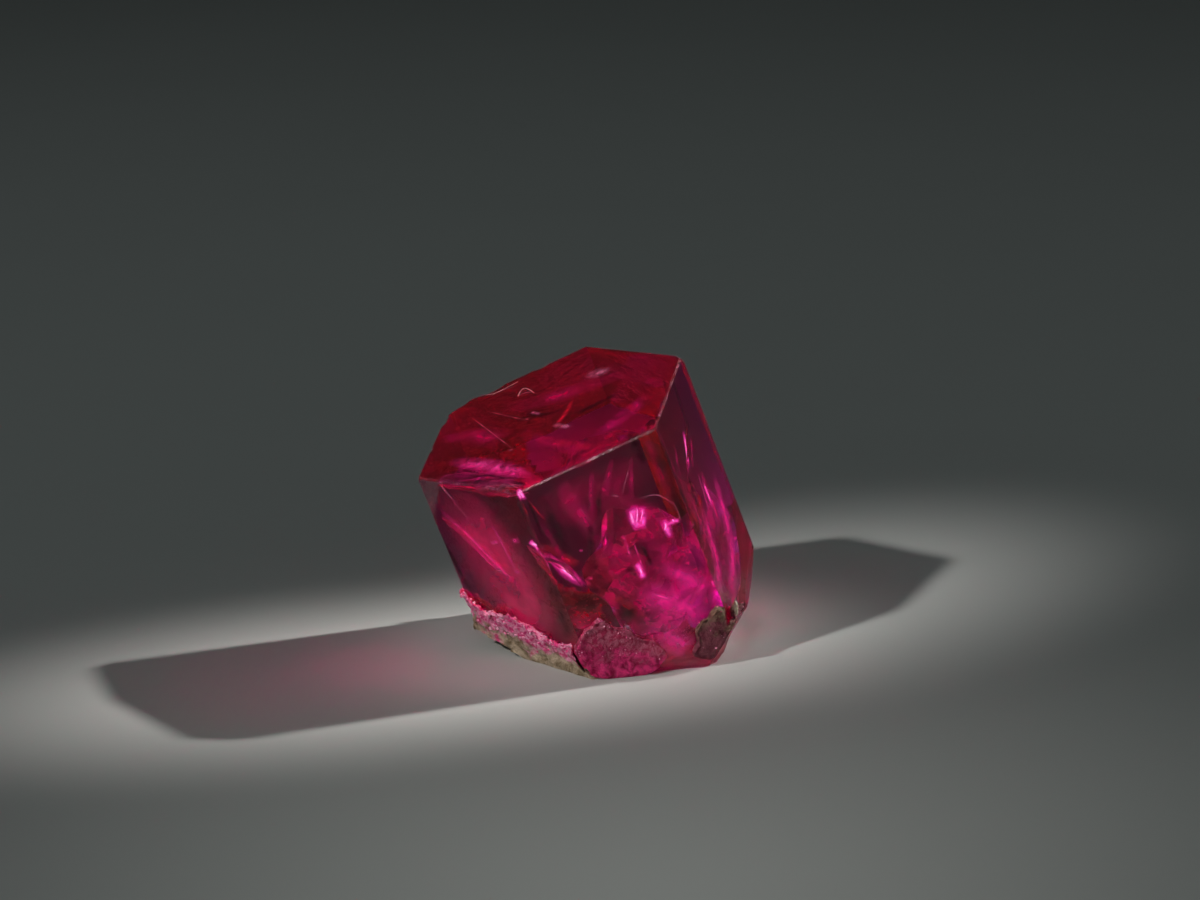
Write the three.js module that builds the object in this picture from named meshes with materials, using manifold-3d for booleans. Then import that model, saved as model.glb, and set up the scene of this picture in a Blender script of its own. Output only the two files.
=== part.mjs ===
// Raw red beryl crystal: a stubby six-sided prism with one flat end. It leans as it
// stands on its broken foot, and thin bits of the rock it grew in still cling there.
import * as THREE from 'three';
import { ImprovedNoise } from 'three/addons/math/ImprovedNoise.js';
import { mergeVertices } from 'three/addons/utils/BufferGeometryUtils.js';
import Module from 'manifold-3d';

// Driving dimensions, in millimetres and degrees.
// The corners of the flat end are named in turn, anticlockwise seen from above it:
// left, near, inner, right, far, back. All its angles are 120 degrees, so four
// sides settle the other two.
const leftSide = 2.54;
const frontSide = 2.54;
const rightSide = 2.5;
const farSide = 2.36;
const standingHeight = 4.2; // resting surface to the middle of the flat end
const lean = 22.7; // prism axis from upright
const leanHeading = -148.25; // compass of the lean, from +X towards +Y
const turn = -44; // left to near side, about the prism axis
const edgeWear = 0.03; // worn bevel on the edges of the flat end and the prism
const uncutLength = 6.5; // prism before its foot is broken away

// Broken foot: a patch worn flat, a bulging rim round it and a ledge at the left
const flatMiddle = new THREE.Vector2(0.9, 0.2);
const flatRadius = 2.05;
const flatWaver = 0.16;
const rimRise = 1.62;
const rimPower = 1.1;
const ledgeHeight = 0.57;
const ledgeSlope = 0.19;
const ledgeEnd = 0.37;
const ledgeFade = 0.55;
const coarseRelief = 0.16;
const fineRelief = 0.05;
const ribHeight = 0.022;
const ribPitch = 0.3;
const reliefFade = 0.35; // height over which the relief dies away towards the flat
const flatWorn = 0.02; // how much the lowest bumps are worn off
const footCell = 0.125; // grid of the broken surface
const footSpan = 7;
const footMiddle = new THREE.Vector2(1, 0.7);

// Shell-shaped scoops in the rim, where the foot broke away behind and at the right
const scoops = [
  { x: 0.4, y: 3.0, depth: 0.85, reach: 1.35 },
  { x: 2.6, y: 3.25, depth: 1.35, reach: 1.6 },
  { x: 4.0, y: 2.0, depth: 1.95, reach: 1.7 },
];

// Nicks along the edges of the flat end: which edge, how far along, radius, bite
const nicks = [
  { from: 'back', to: 'left', along: 0.0, radius: 0.42, bite: 0.13 },
  { from: 'back', to: 'left', along: 0.2, radius: 0.5, bite: 0.05 },
  { from: 'back', to: 'left', along: 0.58, radius: 0.24, bite: 0.045 },
  { from: 'far', to: 'back', along: 0.34, radius: 0.36, bite: 0.045 },
  { from: 'far', to: 'back', along: 0.66, radius: 0.7, bite: 0.05 },
  { from: 'far', to: 'back', along: 0.9, radius: 0.5, bite: 0.06 },
  { from: 'right', to: 'far', along: 0.0, radius: 0.24, bite: 0.07 },
  { from: 'left', to: 'near', along: 0.0, radius: 0.18, bite: 0.06 },
];

// Fractures inside, each a thin gap open at a face or at the foot: its middle (x and y
// from the middle of the flat end, z from the resting surface), the way it runs, the way
// it goes in, its length and breadth, and how far it bows
const fractures = [
  {
    middle: [-1.0, -0.2, 2.08], run: [0.73, -0.35, -0.59], inward: [0.26, 0.95, 0.14],
    length: 1.9, breadth: 1.7, bow: 0.1,
  },
  {
    middle: [0.12, -1.66, 2.06], run: [0.72, 0.3, -0.63], inward: [-0.1, 0.97, -0.02],
    length: 1.2, breadth: 0.8, bow: 0.08,
  },
  {
    middle: [-1.11, -1.34, 3.34], run: [0.74, -0.66, 0.12], inward: [0.71, 0.7, -0.05],
    length: 1.75, breadth: 0.74, bow: 0.04,
  },
  {
    middle: [1.45, -0.5, 1.75], run: [0.94, 0.33, 0.08], inward: [-0.28, 0.6, 0.75],
    length: 1.7, breadth: 2.8, bow: -0.28,
  },
  {
    middle: [2.35, 0.45, 1.55], run: [0.55, 0.8, -0.1], inward: [-0.15, 0.2, 0.96],
    length: 1.8, breadth: 1.9, bow: 0.2,
  },
  {
    middle: [2.21, -0.34, 3.69], run: [0, -0.68, -0.73], inward: [-0.54, 0.78, -0.33],
    length: 1.0, breadth: 0.5, bow: 0.05,
  },
];
const gapWidth = 0.04;
const gapAtRim = 0.4; // share of the gap's width that is left at its rim
const fractureWaver = 0.05;
const fractureSteps = 0.03; // smaller steps across it, shell upon shell
const fractureRagged = 0.24; // share by which its outline wanders
const fractureCell = 0.27;

// Clinging rock: how far it stands off the crystal faces, and its own lumps
const clearance = 0.02;
const rindStandOff = 0.08;
const flakeStandOff = 0.12;
const patchStandOff = 0.1;
// The patch's reach on the front face and round the edge to its right: where along
// the face, how far down from the flat end, and half its size each way
const lowerPatch = { along: 2.14, down: 4.06, half: new THREE.Vector3(0.34, 0.4, 0.46) };
const upperPatch = { along: 0.35, down: 4.1, half: new THREE.Vector3(0.3, 0.5, 0.22) };
const patchRoughness = 0.4;
const rindLap = 0.09; // rim of the rind that laps up over the faces
const rindUnderRise = 0.34; // how far its left end hangs clear of the surface
const rindWornOff = 0.05; // lowest lumps of its underside, worn level
const rindEnd = 0.42; // where it starts to thin out under the foot
const rindThinning = 0.6;
const lumpSize = 0.42;
const lumpHeight = 0.05;
const skinTop = -2.3; // the rock's skin, along the prism from its flat end
const skinDepth = 3.6;

// Outline of the flake on the front face: along it from the near edge, down from the flat end
const raggedEdge = 0.02;
const flakeMiddle = new THREE.Vector2(0.6, 3.5);
const flakeOutline = [
  [-0.08, 3.62], [-0.12, 3.2], [0.04, 2.96], [0.26, 2.84], [0.47, 2.8], [0.6, 3.02],
  [0.86, 3.24], [1.02, 3.49], [1.2, 3.66], [1.31, 4.0], [1.12, 4.1], [0.62, 4.06], [0.2, 3.86],
];

const beryl = new THREE.MeshStandardMaterial({ color: 0x8e0f3c, roughness: 0.12, metalness: 0 });
const paleRock = new THREE.MeshStandardMaterial({ color: 0xb07f86, roughness: 0.85, metalness: 0 });
const tanRock = new THREE.MeshStandardMaterial({ color: 0x8a7358, roughness: 0.9, metalness: 0 });

const wasm = await Module();
wasm.setup();
const noise = new ImprovedNoise();

// Smooth lumps between about -1 and 1, with a lump every `size` millimetres
function lumps(x, y, z, size) {
  return noise.noise(x / size, y / size, z / size) * 1.6;
}

// Corners of the flat end about their middle, in the prism's own plane
function endCorners() {
  const backSide = leftSide + frontSide - farSide;
  const shortSide = rightSide + farSide - leftSide;
  const lengths = [leftSide, frontSide, rightSide, farSide, backSide, shortSide];
  const names = ['left', 'near', 'inner', 'right', 'far', 'back'];
  const corners = {};
  const walk = new THREE.Vector2();
  const middle = new THREE.Vector2();
  names.forEach((name, index) => {
    corners[name] = walk.clone();
    middle.addScaledVector(walk, 1 / names.length);
    const heading = THREE.MathUtils.degToRad(60 * index);
    walk.x += lengths[index] * Math.cos(heading);
    walk.y += lengths[index] * Math.sin(heading);
  });
  names.forEach((name) => corners[name].sub(middle));
  return corners;
}

// Where the leaning prism stands: its own z = 0 is the flat end
function prismPose() {
  const heading = THREE.MathUtils.degToRad(leanHeading);
  const leanAxis = new THREE.Vector3(-Math.sin(heading), Math.cos(heading), 0);
  const leaning = new THREE.Quaternion().setFromAxisAngle(leanAxis, THREE.MathUtils.degToRad(lean));
  const upright = new THREE.Vector3(0, 0, 1);
  const turned = new THREE.Quaternion().setFromAxisAngle(upright, THREE.MathUtils.degToRad(turn));
  const place = new THREE.Vector3(0, 0, standingHeight);
  return new THREE.Matrix4().compose(place, leaning.multiply(turned), new THREE.Vector3(1, 1, 1));
}

const corners = endCorners();
const cornerRing = Object.values(corners);
const pose = prismPose();

// A closed mesh becomes a solid that can be joined and cut
function toSolid(geometry) {
  const bare = geometry.index ? geometry.toNonIndexed() : geometry.clone();
  bare.deleteAttribute('normal');
  bare.deleteAttribute('uv');
  const merged = mergeVertices(bare, 1e-5);
  const vertProperties = new Float32Array(merged.attributes.position.array);
  const triVerts = new Uint32Array(merged.index.array);
  return new wasm.Manifold(new wasm.Mesh({ numProp: 3, vertProperties, triVerts }));
}

function toGeometry(solid) {
  const { vertProperties, triVerts } = solid.getMesh();
  const geometry = new THREE.BufferGeometry();
  geometry.setAttribute('position', new THREE.BufferAttribute(vertProperties, 3));
  geometry.setIndex(new THREE.BufferAttribute(triVerts, 1));
  geometry.computeVertexNormals();
  return geometry;
}

// The largest body of a solid, without the crumbs that a cut leaves
function mainBody(solid) {
  const bodies = solid.decompose();
  return bodies.reduce((best, body) => (body.volume() > best.volume() ? body : best));
}

// The prism outline moved out by a distance, with every side cut in `cuts` lengths
function outline(outset, cuts) {
  const points = [];
  cornerRing.forEach((corner, index) => {
    const next = cornerRing[(index + 1) % cornerRing.length];
    const last = cornerRing[(index + cornerRing.length - 1) % cornerRing.length];
    const ahead = next.clone().sub(corner).normalize();
    const behind = last.clone().sub(corner).normalize();
    const inward = ahead.clone().add(behind);
    const reach = outset / Math.sin(Math.PI / 3);
    const start = corner.clone().addScaledVector(inward, -reach);
    const end = next.clone().addScaledVector(ahead, reach / 2);
    const outwardNormal = new THREE.Vector2(ahead.y, -ahead.x);
    end.addScaledVector(outwardNormal, outset);
    for (let cut = 0; cut < cuts; cut += 1) {
      points.push(start.clone().lerp(end, cut / cuts));
    }
  });
  return points;
}

// Whole prism with worn edges, `outset` larger on its sides and its flat end
function prismGeometry(outset) {
  const geometry = new THREE.ExtrudeGeometry(new THREE.Shape(outline(outset, 1)), {
    depth: uncutLength - 2 * edgeWear,
    bevelEnabled: true,
    bevelThickness: edgeWear,
    bevelSize: edgeWear,
    bevelOffset: -edgeWear,
    bevelSegments: 1,
  });
  geometry.translate(0, 0, outset + edgeWear - uncutLength);
  return geometry.applyMatrix4(pose);
}

// Lumpy skin of rock round the foot of the prism
function skinGeometry(outset) {
  const geometry = new THREE.ExtrudeGeometry(new THREE.Shape(outline(outset, 16)), {
    depth: skinDepth,
    steps: 26,
    bevelEnabled: false,
  });
  geometry.translate(0, 0, skinTop - skinDepth);
  const { position } = geometry.attributes;
  const point = new THREE.Vector3();
  for (let index = 0; index < position.count; index += 1) {
    point.fromBufferAttribute(position, index);
    const bump = lumpHeight * lumps(point.x, point.y, point.z, lumpSize)
      + 0.4 * lumpHeight * lumps(point.x + 5, point.y, point.z, lumpSize / 3);
    const swell = 1 + bump / Math.hypot(point.x, point.y);
    position.setXY(index, point.x * swell, point.y * swell);
  }
  return geometry.applyMatrix4(pose);
}

// Everything below a surface given by its height over the resting surface
function belowSurface(heightAt) {
  const cells = Math.round(footSpan / footCell);
  const base = 1.5;
  const geometry = new THREE.BoxGeometry(footSpan, footSpan, base, cells, cells, 1);
  const { position } = geometry.attributes;
  for (let index = 0; index < position.count; index += 1) {
    const x = position.getX(index) + footMiddle.x;
    const y = position.getY(index) + footMiddle.y;
    const top = position.getZ(index) > 0;
    position.setXYZ(index, x, y, top ? heightAt(x, y) : -base);
  }
  return toSolid(geometry);
}

// Height of the broken foot: flat where it is worn, conchoidal ribs on the rim
function footHeight(x, y) {
  const fromMiddle = Math.hypot(x - flatMiddle.x, y - flatMiddle.y);
  const rim = Math.max(0, fromMiddle - flatRadius - flatWaver * lumps(x, y, 1, 1.3));
  const rimHeight = rimRise * rim ** rimPower;
  const ledgeShare = 1 - THREE.MathUtils.smoothstep(x, ledgeEnd, ledgeEnd + ledgeFade);
  const ledge = (ledgeHeight + ledgeSlope * (ledgeEnd - x)) * ledgeShare;
  const scooped = scoops.map((scoop) => {
    const share = Math.hypot(x - scoop.x, y - scoop.y) / scoop.reach;
    return scoop.depth * (1 - share ** 2);
  });
  const rise = Math.max(rimHeight, ledge, ...scooped);
  const broken = THREE.MathUtils.smoothstep(rise, 0, reliefFade);
  const relief = coarseRelief * lumps(x, y, 3, 1.1) + fineRelief * lumps(x, y, 7, 0.4);
  const ribs = ribHeight * Math.sin((2 * Math.PI * fromMiddle) / ribPitch);
  return Math.max(0, rise + broken * (relief + ribs) - flatWorn);
}

// Underside of the rind: level at the middle, rising to its left end, gone on the right
function rindUnder(x, y) {
  const raised = rindUnderRise * THREE.MathUtils.smoothstep(-x, 0.25, 1.35);
  const rough = 0.05 * lumps(x, y, 11, 0.5) + 0.03 * lumps(x, y, 13, 0.2);
  const under = Math.max(0, raised + rough - rindWornOff);
  const gone = THREE.MathUtils.smoothstep(x + 0.2 * y, rindEnd, rindEnd + rindThinning);
  return THREE.MathUtils.lerp(under, footHeight(x, y) + 0.15, gone);
}

// Upper rim of the rind, ragged where it laps over the faces
function rindTop(x, y) {
  const ragged = 0.6 * lumps(x, y, 17, 0.35) + 0.4 * lumps(x, y, 19, 0.14);
  return footHeight(x, y) + rindLap * (1 + ragged);
}

// A point on a face of the prism: along it from its first corner, down from the flat end
function facePoint(firstCorner, nextCorner, along, down) {
  const first = corners[firstCorner];
  const direction = corners[nextCorner].clone().sub(first).normalize();
  const point = first.clone().addScaledVector(direction, along);
  return new THREE.Vector3(point.x, point.y, -down).applyMatrix4(pose);
}

// A rough ball, for chips and the reach of small patches
function roughBall(centre, radii, detail, roughness) {
  const geometry = new THREE.IcosahedronGeometry(1, detail);
  const { position } = geometry.attributes;
  const point = new THREE.Vector3();
  for (let index = 0; index < position.count; index += 1) {
    point.fromBufferAttribute(position, index);
    const swell = 1 + roughness * lumps(point.x + centre.x * 3, point.y + centre.y * 3, point.z, 0.7);
    point.multiplyScalar(swell).multiply(radii).add(centre);
    position.setXYZ(index, point.x, point.y, point.z);
  }
  return toSolid(geometry);
}

function nickSolid({ from, to, along, radius, bite }) {
  const point = corners[from].clone().lerp(corners[to], along);
  const outward = point.clone().normalize().multiplyScalar((radius - bite) * 0.75);
  const centre = new THREE.Vector3(point.x + outward.x, point.y + outward.y, (radius - bite) * 0.6);
  const radii = new THREE.Vector3(radius, radius, radius);
  return roughBall(centre.applyMatrix4(pose), radii, 4, (0.4 * bite) / radius);
}

// A thin gap with a rounded outline, bowed like a shell and a little wavy
function fractureSolid({ middle, run, inward, length, breadth, bow }) {
  const cells = Math.round(Math.max(length, breadth) / fractureCell);
  const geometry = new THREE.BoxGeometry(2, 2, 2, cells, cells, 1);
  const { position } = geometry.attributes;
  for (let index = 0; index < position.count; index += 1) {
    const x = position.getX(index);
    const y = position.getY(index);
    const side = position.getZ(index);
    const alongShare = x * Math.sqrt(1 - y ** 2 / 2);
    const inwardShare = y * Math.sqrt(1 - x ** 2 / 2);
    const outwards = alongShare ** 2 + inwardShare ** 2;
    const open = (gapWidth / 2) * THREE.MathUtils.lerp(1, gapAtRim, outwards);
    const ragged = 1 + fractureRagged * outwards * lumps(alongShare, inwardShare, middle[0] * 5, 0.7);
    const across = alongShare * ragged * length;
    const depth = inwardShare * ragged * breadth;
    const waver = fractureWaver * lumps(across, depth, middle[0] * 7, 0.6);
    const steps = fractureSteps * lumps(across, depth, middle[0] * 11, 0.27);
    const height = bow * (1 - outwards) + waver + steps + side * open;
    position.setXYZ(index, across / 2, depth / 2, height);
  }
  const runAxis = new THREE.Vector3(...run).normalize();
  const faceAxis = runAxis.clone().cross(new THREE.Vector3(...inward)).normalize();
  const placed = new THREE.Matrix4().makeBasis(runAxis, faceAxis.clone().cross(runAxis), faceAxis);
  placed.setPosition(...middle);
  return toSolid(geometry.applyMatrix4(placed));
}

// The flake's reach through the skin: its outline pushed straight out of the front face
function flakeReach(margin) {
  const points = flakeOutline.map(([along, down]) => {
    const point = new THREE.Vector2(along, down);
    const fromMiddle = point.clone().sub(flakeMiddle);
    return point.addScaledVector(fromMiddle.normalize(), margin);
  });
  const curve = new THREE.CatmullRomCurve3(
    points.map((point) => new THREE.Vector3(point.x, point.y, 0)),
    true,
    'centripetal',
  );
  const ragged = curve.getPoints(60).slice(0, -1).map((point) => new THREE.Vector2(
    point.x + raggedEdge * lumps(point.x, point.y, 23, 0.12),
    point.y + raggedEdge * lumps(point.x, point.y, 29, 0.12),
  ));
  const reach = 0.9;
  const geometry = new THREE.ExtrudeGeometry(new THREE.Shape(ragged), { depth: reach, bevelEnabled: false });
  const first = corners.near;
  const direction = corners.inner.clone().sub(first).normalize();
  const along = new THREE.Vector3(direction.x, direction.y, 0);
  const down = new THREE.Vector3(0, 0, -1);
  const inward = new THREE.Vector3(-direction.y, direction.x, 0);
  const onFace = new THREE.Matrix4().makeBasis(along, down, inward);
  onFace.setPosition(first.x - inward.x * reach / 2, first.y - inward.y * reach / 2, 0);
  geometry.applyMatrix4(onFace).applyMatrix4(pose);
  return toSolid(geometry);
}

const foot = belowSurface(footHeight);
const restingSurface = belowSurface(() => 0);
const footClear = belowSurface((x, y) => footHeight(x, y) - clearance);
const keptClear = toSolid(prismGeometry(clearance)).subtract(footClear);

function crystalSolid() {
  let solid = toSolid(prismGeometry(0)).subtract(foot);
  nicks.forEach((nick) => {
    solid = solid.subtract(nickSolid(nick));
  });
  fractures.forEach((fracture) => {
    solid = solid.subtract(fractureSolid(fracture));
  });
  return mainBody(solid);
}

function flakeSolid() {
  const skin = toSolid(skinGeometry(flakeStandOff));
  return mainBody(skin.intersect(flakeReach(0)).subtract(keptClear).subtract(restingSurface));
}

function rindSolid() {
  const skin = toSolid(skinGeometry(rindStandOff));
  const slab = belowSurface(rindTop).subtract(belowSurface(rindUnder));
  return mainBody(skin.intersect(slab).subtract(keptClear).subtract(flakeReach(clearance * 2)));
}

function patchSolid() {
  const lowerMiddle = facePoint('near', 'inner', lowerPatch.along, lowerPatch.down);
  const upperMiddle = facePoint('inner', 'right', upperPatch.along, upperPatch.down);
  const lower = roughBall(lowerMiddle, lowerPatch.half, 3, patchRoughness);
  const upper = roughBall(upperMiddle, upperPatch.half, 3, patchRoughness);
  const skin = toSolid(skinGeometry(patchStandOff));
  const reach = lower.add(upper);
  return mainBody(skin.intersect(reach).subtract(keptClear).subtract(foot));
}

function namedMesh(name, solid, material) {
  const mesh = new THREE.Mesh(toGeometry(solid), material);
  mesh.name = name;
  return mesh;
}

const specimen = new THREE.Group();
specimen.add(
  namedMesh('crystal', crystalSolid(), beryl),
  namedMesh('matrix_rind', rindSolid(), paleRock),
  namedMesh('matrix_flake', flakeSolid(), paleRock),
  namedMesh('matrix_patch', patchSolid(), tanRock),
);

// The origin is under the middle of the specimen, on the surface it rests on
const extent = new THREE.Box3().setFromObject(specimen);
specimen.position.set(-(extent.min.x + extent.max.x) / 2, -(extent.min.y + extent.max.y) / 2, 0);

const part = new THREE.Group();
part.add(specimen);
export default part;
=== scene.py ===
import bpy
import math
import random
from mathutils import Matrix, Vector
from mathutils.bvhtree import BVHTree


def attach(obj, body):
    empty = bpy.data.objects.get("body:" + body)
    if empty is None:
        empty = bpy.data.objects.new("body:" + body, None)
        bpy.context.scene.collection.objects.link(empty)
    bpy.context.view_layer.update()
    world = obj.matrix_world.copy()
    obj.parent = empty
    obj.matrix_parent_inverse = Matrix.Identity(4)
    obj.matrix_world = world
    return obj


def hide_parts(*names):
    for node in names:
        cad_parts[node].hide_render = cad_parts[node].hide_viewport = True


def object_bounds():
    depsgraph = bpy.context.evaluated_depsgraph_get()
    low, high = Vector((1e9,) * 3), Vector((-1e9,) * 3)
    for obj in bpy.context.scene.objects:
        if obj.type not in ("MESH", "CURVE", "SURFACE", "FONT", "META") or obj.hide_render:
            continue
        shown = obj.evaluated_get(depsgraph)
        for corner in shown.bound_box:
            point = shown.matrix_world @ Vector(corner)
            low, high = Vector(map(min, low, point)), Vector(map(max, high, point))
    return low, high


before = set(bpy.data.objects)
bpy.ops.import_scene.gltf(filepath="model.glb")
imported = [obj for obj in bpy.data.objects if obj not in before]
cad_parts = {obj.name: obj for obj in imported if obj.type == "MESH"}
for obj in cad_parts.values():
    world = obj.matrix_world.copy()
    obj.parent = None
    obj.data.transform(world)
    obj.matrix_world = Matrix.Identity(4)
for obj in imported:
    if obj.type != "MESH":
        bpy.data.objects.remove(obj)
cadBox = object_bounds()
mm = 0.001

# The photograph's frame and where the crystal lies in it
photoView = {
    "size": (1200, 900),
    "focalPixels": 4000,        # a long lens, close up
    "endMiddle": (551, 417.5),  # middle of the flat end in the frame
    "pixelsPerMm": 58,
    "elevation": 15,            # degrees above the table
    "sensor": 36,               # mm
    "clip": (0.002, 5),         # metres
}

# How the prism stands; its sides in turn, anticlockwise from above
prismStand = {
    "lean": 22.7,            # degrees from upright
    "leanHeading": -148.25,  # the way it leans, from +X towards +Y
    "turn": -44,             # about its own axis
    "sides": ("left", "front", "right", "far", "back", "short"),
    "ior": 1.57,
}


def prismTurn():
    heading = math.radians(prismStand["leanHeading"])
    leanAxis = Vector((-math.sin(heading), math.cos(heading), 0))
    lean = Matrix.Rotation(math.radians(prismStand["lean"]), 3, leanAxis)
    return lean @ Matrix.Rotation(math.radians(prismStand["turn"]), 3, "Z")


def prismPlanes():
    # outward normal and distance of the six sides and the flat end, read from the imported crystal
    turned = prismTurn()
    points = [v.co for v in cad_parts["crystal"].data.vertices]
    normals = {"end": turned @ Vector((0, 0, 1))}
    for number, name in enumerate(prismStand["sides"]):
        angle = math.radians(360 / len(prismStand["sides"]) * number)
        normals[name] = turned @ Vector((math.sin(angle), -math.cos(angle), 0))
    return {name: (n, max(n.dot(p) for p in points)) for name, n in normals.items()}


planes = prismPlanes()


def meetingPoint(*names):
    rows = Matrix([planes[name][0] for name in names])
    return rows.inverted() @ Vector([planes[name][1] for name in names])


ring = prismStand["sides"]
endCorners = [meetingPoint("end", ring[i - 1], side) for i, side in enumerate(ring)]
endMiddle = sum(endCorners, Vector()) / len(ring)
prismAxis = planes["end"][0]


def pixelRay(pixel):
    # direction from the camera through a pixel of the photograph's frame
    tilt = math.radians(photoView["elevation"])
    ahead = Vector((0, math.cos(tilt), -math.sin(tilt)))
    up = Vector((0, math.sin(tilt), math.cos(tilt)))
    width, height = photoView["size"]
    across = (pixel[0] - width / 2) / photoView["focalPixels"]
    rise = (height / 2 - pixel[1]) / photoView["focalPixels"]
    return ahead + across * Vector((1, 0, 0)) + rise * up


def cameraPlace():
    distance = photoView["focalPixels"] / photoView["pixelsPerMm"] * mm
    return endMiddle - distance * pixelRay(photoView["endMiddle"])


def insideAt(pixel, side, depth):
    # the point that a pixel shows at some depth in mm behind a face, as the face bends the view
    normal, distance = planes[side]
    eye = cameraPlace()
    ray = pixelRay(pixel).normalized()
    entry = eye + ray * ((distance - normal.dot(eye)) / normal.dot(ray))
    facing = -ray.dot(normal)
    ratio = 1 / prismStand["ior"]
    bent = ratio * ray + (ratio * facing - math.sqrt(1 - ratio ** 2 * (1 - facing ** 2))) * normal
    return entry + bent * depth * mm


def makeCamera():
    data = bpy.data.cameras.new("photoCamera")
    data.sensor_width = photoView["sensor"]
    data.lens = photoView["focalPixels"] / photoView["size"][0] * photoView["sensor"]
    data.clip_start, data.clip_end = photoView["clip"]
    camera = bpy.data.objects.new("photoCamera", data)
    bpy.context.scene.collection.objects.link(camera)
    camera.location = cameraPlace()
    camera.rotation_euler = (math.radians(90 - photoView["elevation"]), 0, 0)
    bpy.context.scene.camera = camera


makeCamera()
print("camera placed")

# Meshes
meshCare = {
    "mergeWithin": 0.0002,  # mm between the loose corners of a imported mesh
    "sliver": 0.002,        # mm, shorter edges are dissolved
}


def selectOnly(piece):
    bpy.ops.object.select_all(action="DESELECT")
    piece.select_set(True)
    bpy.context.view_layer.objects.active = piece


def copyOfNode(nodeName, pieceName):
    # a CAD node's mesh as a piece of its own, with its loose triangles joined up
    piece = bpy.data.objects.new(pieceName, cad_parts[nodeName].data.copy())
    bpy.context.scene.collection.objects.link(piece)
    piece.data.materials.clear()
    selectOnly(piece)
    if piece.data.has_custom_normals:
        bpy.ops.mesh.customdata_custom_splitnormals_clear()
    bpy.ops.object.mode_set(mode="EDIT")
    bpy.ops.mesh.select_all(action="SELECT")
    bpy.ops.mesh.remove_doubles(threshold=meshCare["mergeWithin"] * mm)
    bpy.ops.mesh.dissolve_degenerate(threshold=meshCare["sliver"] * mm)
    bpy.ops.object.mode_set(mode="OBJECT")
    return piece


def facesWhere(piece, wanted):
    # selects in edit mode the faces that a test picks, and leaves edit mode on
    selectOnly(piece)
    bpy.ops.object.mode_set(mode="EDIT")
    bpy.ops.mesh.select_mode(type="FACE")
    bpy.ops.mesh.select_all(action="DESELECT")
    bpy.ops.object.mode_set(mode="OBJECT")
    for polygon in piece.data.polygons:
        polygon.select = wanted(polygon)
    bpy.ops.object.mode_set(mode="EDIT")


def joinPieces(pieces, name):
    bpy.ops.object.select_all(action="DESELECT")
    for piece in pieces:
        piece.select_set(True)
    bpy.context.view_layer.objects.active = pieces[0]
    bpy.ops.object.join()
    joined = bpy.context.view_layer.objects.active
    joined.name = name
    return joined


def finishPiece(piece, nodeName=None):
    if nodeName:
        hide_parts(nodeName)
    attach(piece, "root")


# Shader building
def feed(tree, socket, value):
    if isinstance(value, bpy.types.NodeSocket):
        tree.links.new(value, socket)
    else:
        socket.default_value = value


def addNode(tree, kind, settings=None, feeds=None):
    node = tree.nodes.new("ShaderNode" + kind)
    for key, value in (settings or {}).items():
        setattr(node, key, value)
    for key, value in (feeds or {}).items():
        feed(tree, node.inputs[key], value)
    return node


def calculate(tree, operation, first, second=0.0, third=0.0):
    node = addNode(tree, "Math", {"operation": operation}, {0: first, 1: second, 2: third})
    return node.outputs[0]


def spread(tree, value, low, high, toLow=0.0, toHigh=1.0):
    node = addNode(tree, "MapRange", None, {0: value, 1: low, 2: high, 3: toLow, 4: toHigh})
    return node.outputs[0]


def blend(tree, share, first, second):
    node = addNode(tree, "Mix", {"data_type": "RGBA"}, {0: share, 6: first, 7: second})
    return node.outputs[2]


def attribute(tree, name):
    return addNode(tree, "Attribute", {"attribute_name": name}).outputs["Fac"]


def newMaterial(name):
    material = bpy.data.materials.new(name)
    material.use_nodes = True
    return material, material.node_tree, material.node_tree.nodes["Principled BSDF"]


def newGroup(name, takes, gives):
    tree = bpy.data.node_groups.new(name, "ShaderNodeTree")
    for label, kind, value in takes:
        socket = tree.interface.new_socket(label, in_out="INPUT", socket_type="NodeSocket" + kind)
        socket.default_value = value
    for label, kind in gives:
        tree.interface.new_socket(label, in_out="OUTPUT", socket_type="NodeSocket" + kind)
    return tree, tree.nodes.new("NodeGroupInput").outputs, tree.nodes.new("NodeGroupOutput").inputs


def useGroup(tree, group, feeds):
    node = tree.nodes.new("ShaderNodeGroup")
    node.node_tree = group
    for key, value in feeds.items():
        feed(tree, node.inputs[key], value)
    return node.outputs


noiseLooks = {
    "blotches": {"Detail": 5, "Roughness": 0.6},
    "steps": {"Detail": 3, "Distortion": 0.8},
    "grit": {"Detail": 4, "Roughness": 0.7},
    "gritFiner": 5,    # how much smaller the grit is than the steps
    "gritShare": 0.3,  # its share of the height
}


def makeBlotches():
    # cloudy patches between 0 and 1; Low and High set how sharp and how many
    takes = (("Scale", "Float", 1000), ("Low", "Float", 0.4), ("High", "Float", 0.6),
             ("Swirl", "Float", 0.5))
    tree, given, wanted = newGroup("blotches", takes, (("Mask", "Float"),))
    place = addNode(tree, "TexCoord").outputs["Object"]
    noise = addNode(tree, "TexNoise", None, {"Vector": place, "Scale": given["Scale"],
                                             "Distortion": given["Swirl"], **noiseLooks["blotches"]})
    feed(tree, wanted["Mask"], spread(tree, noise.outputs["Fac"], given["Low"], given["High"]))
    return tree


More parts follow.
